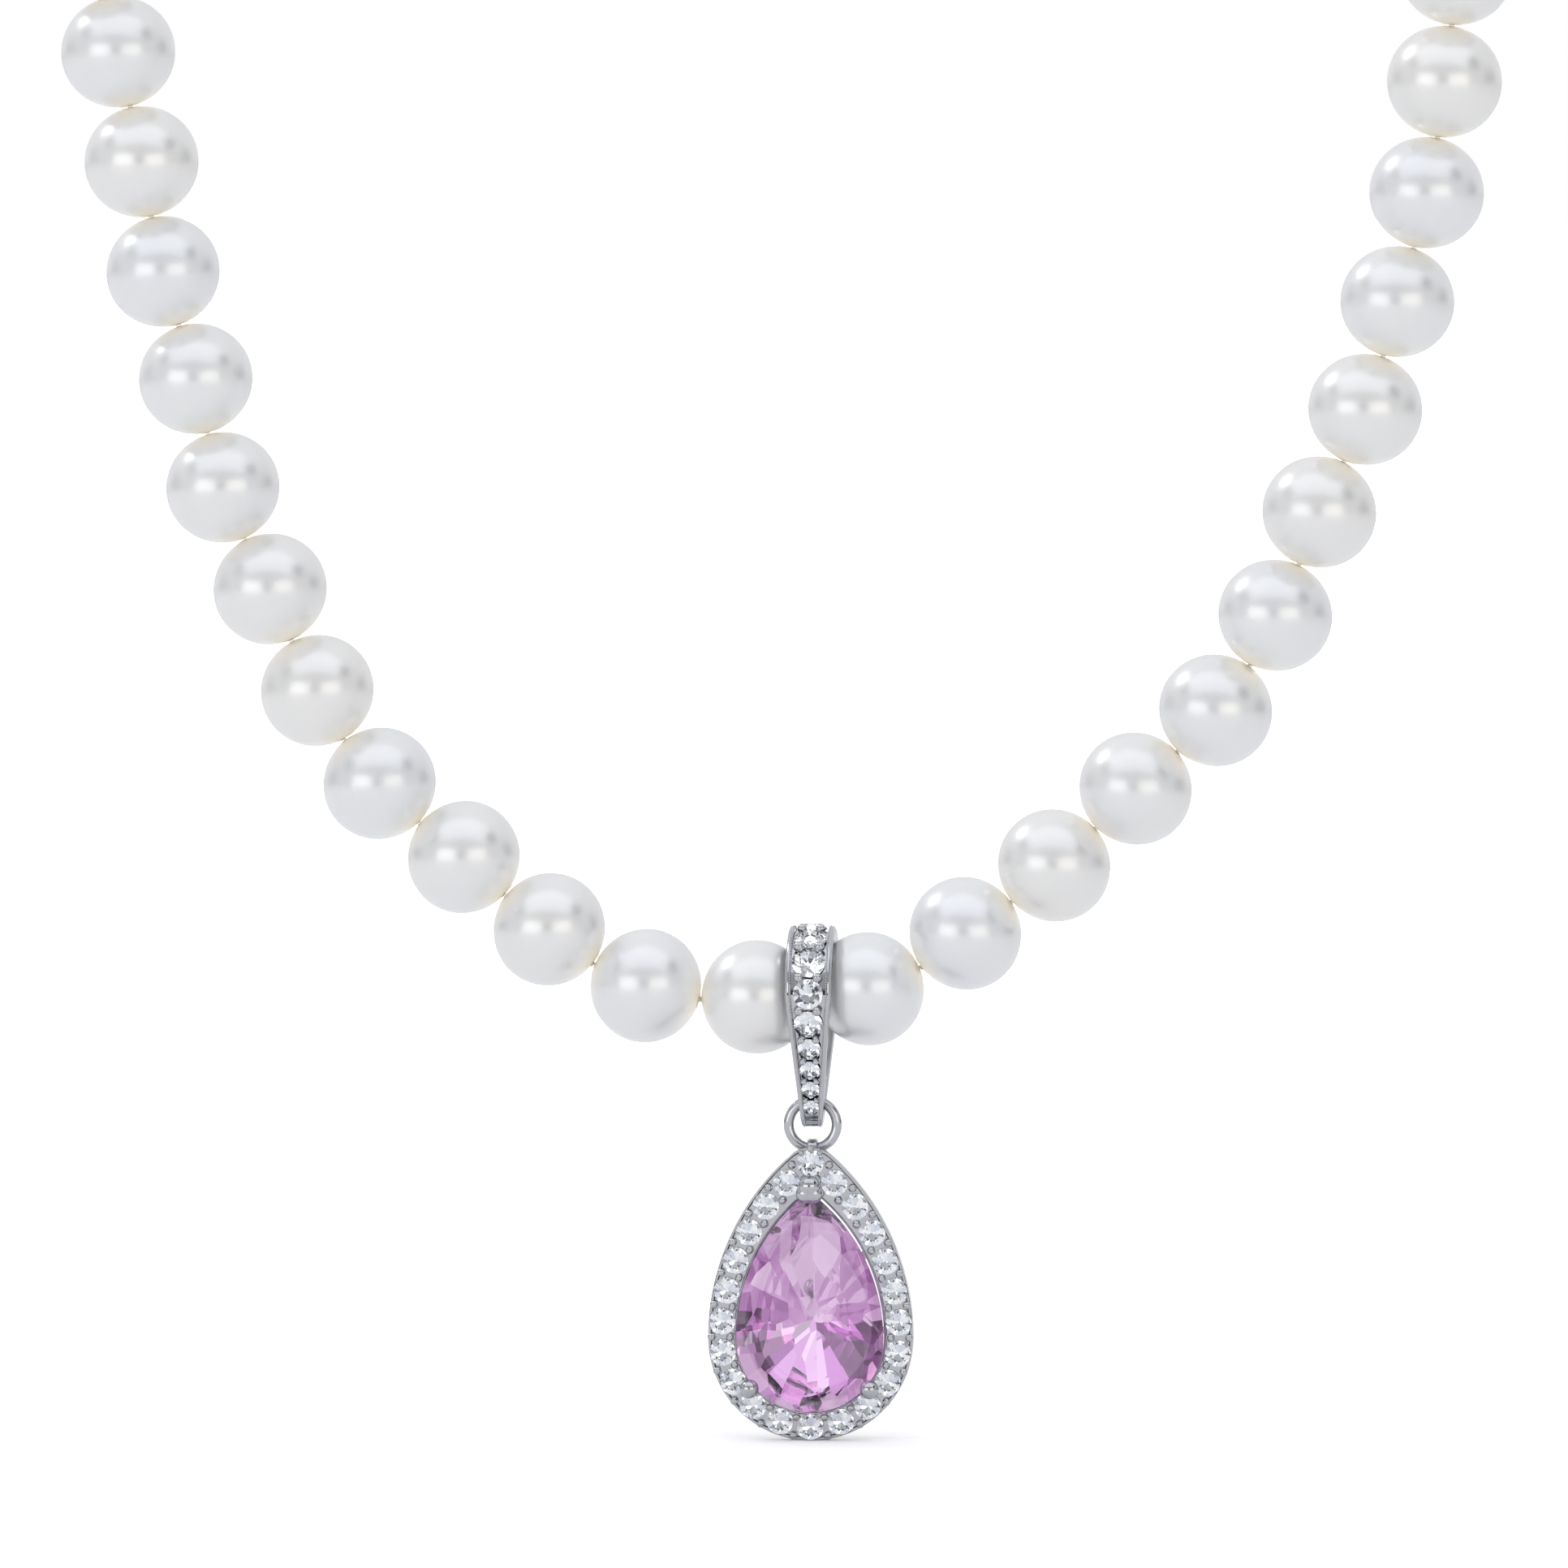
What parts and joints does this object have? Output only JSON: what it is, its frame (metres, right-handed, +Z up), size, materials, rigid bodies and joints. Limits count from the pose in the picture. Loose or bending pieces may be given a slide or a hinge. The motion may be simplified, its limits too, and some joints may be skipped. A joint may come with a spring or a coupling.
{
  "type": "pearl necklace",
  "caption": "Single-strand pearl necklace with a lobster clasp and a pear-shaped halo pendant hung from a stone-set bail.",
  "frame": {"origin": "inside of the strand's top, under the middle of the clasp, where a neck or a peg carries the necklace", "axes": "+Z up the hanging strand, -Y out of the front, +X to the right seen from the front"},
  "size_m": [0.1049, 0.0094, 0.1813],
  "materials": {
    "nacre": "lustrous white pearl nacre",
    "silk": "twisted white silk",
    "silk_knot": "knotted and glued silk",
    "centre_stone": "polished orchid pink faceted stone",
    "white_stones": "polished clear round brilliants",
    "rhodium_silver": "bright polished rhodium plate",
    "spring_steel": "plain drawn steel"
  },
  "bodies": {
    "neck": {"pearls_neck_left": "nacre", "pearls_neck_right": "nacre", "thread_neck": "silk", "end_knots": "silk_knot", "bead_tip_left": "rhodium_silver", "bead_tip_right": "rhodium_silver", "link_ring": "rhodium_silver", "end_ring": "rhodium_silver"},
    "clasp": {"clasp_body": "rhodium_silver", "lever_pin": "spring_steel", "lever_spring": "spring_steel"},
    "lever": {"clasp_lever": "rhodium_silver"},
    "row_01": {"pearls_row_01": "nacre", "thread_row_01": "silk"},
    "row_02": {"pearls_row_02": "nacre", "thread_row_02": "silk"},
    "row_03": {"pearls_row_03": "nacre", "thread_row_03": "silk"},
    "row_04": {"pearls_row_04": "nacre", "thread_row_04": "silk"},
    "row_05": {"pearls_row_05": "nacre", "thread_row_05": "silk"},
    "row_06": {"pearls_row_06": "nacre", "thread_row_06": "silk"},
    "row_07": {"pearls_row_07": "nacre", "thread_row_07": "silk"},
    "row_08": {"pearls_row_08": "nacre", "thread_row_08": "silk"},
    "row_09": {"pearls_row_09": "nacre", "thread_row_09": "silk"},
    "row_10": {"pearls_row_10": "nacre", "thread_row_10": "silk"},
    "row_11": {"pearls_row_11": "nacre", "thread_row_11": "silk"},
    "row_12": {"pearls_row_12": "nacre", "thread_row_12": "silk"},
    "row_13": {"pearls_row_13": "nacre", "thread_row_13": "silk"},
    "front": {"pearls_front": "nacre", "thread_front": "silk"},
    "bail": {"bail": "rhodium_silver", "bail_stones": "white_stones"},
    "ring": {"jump_ring": "rhodium_silver"},
    "pendant": {"halo_frame": "rhodium_silver", "halo_stones": "white_stones", "centre_stone": "centre_stone", "claw_basket": "rhodium_silver"}
  },
  "joints": [
    {"name": "fold_01", "type": "hinge", "parent": "neck", "child": "row_01", "pos_m": [-0.00087, 0, -0.05403], "axis": [0.9999, 0, -0.0169], "range_deg": [-10, 10]},
    {"name": "fold_02", "type": "hinge", "parent": "row_01", "child": "row_02", "pos_m": [-0.00069, 0, -0.06161], "axis": [0.9999, 0, -0.0172], "range_deg": [-10, 10]},
    {"name": "fold_03", "type": "hinge", "parent": "row_02", "child": "row_03", "pos_m": [-0.00035, 0, -0.06916], "axis": [0.9998, 0, -0.0181], "range_deg": [-10, 10]},
    {"name": "fold_04", "type": "hinge", "parent": "row_03", "child": "row_04", "pos_m": [0.00013, 0, -0.07666], "axis": [0.9998, 0, -0.0201], "range_deg": [-10, 10]},
    {"name": "fold_05", "type": "hinge", "parent": "row_04", "child": "row_05", "pos_m": [0.00052, 0, -0.08412], "axis": [0.9998, 0, -0.0223], "range_deg": [-10, 10]},
    {"name": "fold_06", "type": "hinge", "parent": "row_05", "child": "row_06", "pos_m": [0.00042, 0, -0.09156], "axis": [0.9997, 0, -0.0226], "range_deg": [-10, 10]},
    {"name": "fold_07", "type": "hinge", "parent": "row_06", "child": "row_07", "pos_m": [0.00033, 0, -0.0989], "axis": [0.9997, 0, -0.0233], "range_deg": [-10, 10]},
    {"name": "fold_08", "type": "hinge", "parent": "row_07", "child": "row_08", "pos_m": [-0.00003, 0, -0.10612], "axis": [0.9998, 0, -0.0216], "range_deg": [-10, 10]},
    {"name": "fold_09", "type": "hinge", "parent": "row_08", "child": "row_09", "pos_m": [-0.00029, 0, -0.11318], "axis": [0.9998, 0, -0.0209], "range_deg": [-10, 10]},
    {"name": "fold_10", "type": "hinge", "parent": "row_09", "child": "row_10", "pos_m": [-0.00032, 0, -0.12005], "axis": [0.9997, 0, -0.0226], "range_deg": [-10, 10]},
    {"name": "fold_11", "type": "hinge", "parent": "row_10", "child": "row_11", "pos_m": [-0.00098, 0, -0.12634], "axis": [1, 0, -0.0099], "range_deg": [-10, 10]},
    {"name": "fold_12", "type": "hinge", "parent": "row_11", "child": "row_12", "pos_m": [-0.00119, 0, -0.13174], "axis": [1, 0, -0.0036], "range_deg": [-10, 10]},
    {"name": "fold_13", "type": "hinge", "parent": "row_12", "child": "row_13", "pos_m": [-0.00113, 0, -0.13669], "axis": [1, 0, -0.0086], "range_deg": [-10, 10]},
    {"name": "fold_front", "type": "hinge", "parent": "row_13", "child": "front", "pos_m": [-0.0012, 0, -0.1413], "axis": [1, 0, -0.0051], "range_deg": [-10, 10]},
    {"name": "bail_swing", "type": "hinge", "parent": "front", "child": "bail", "pos_m": [0.00259, 0, -0.14306], "axis": [0.9969, 0, 0.0785], "range_deg": [-60, 60]},
    {"name": "ring_turn", "type": "hinge", "parent": "bail", "child": "ring", "pos_m": [0.00259, 0, -0.15199], "axis": [0, 1, 0], "range_deg": [-35, 35]},
    {"name": "pendant_swing", "type": "hinge", "parent": "ring", "child": "pendant", "pos_m": [0.00259, 0, -0.15362], "axis": [1, 0, 0], "range_deg": [-35, 70]},
    {"name": "clasp_roll", "type": "hinge", "parent": "neck", "child": "clasp", "pos_m": [0.00208, 0, 0.00386], "axis": [0.9999, 0, -0.0169], "range_deg": [-20, 20]},
    {"name": "lever_press", "type": "hinge", "parent": "clasp", "child": "lever", "pos_m": [0.00004, 0, 0.00169], "axis": [0, -1, 0], "range_deg": [0, 30], "stiffness_Nm_per_rad": 0.001, "springref_deg": -17.19}
  ]
}
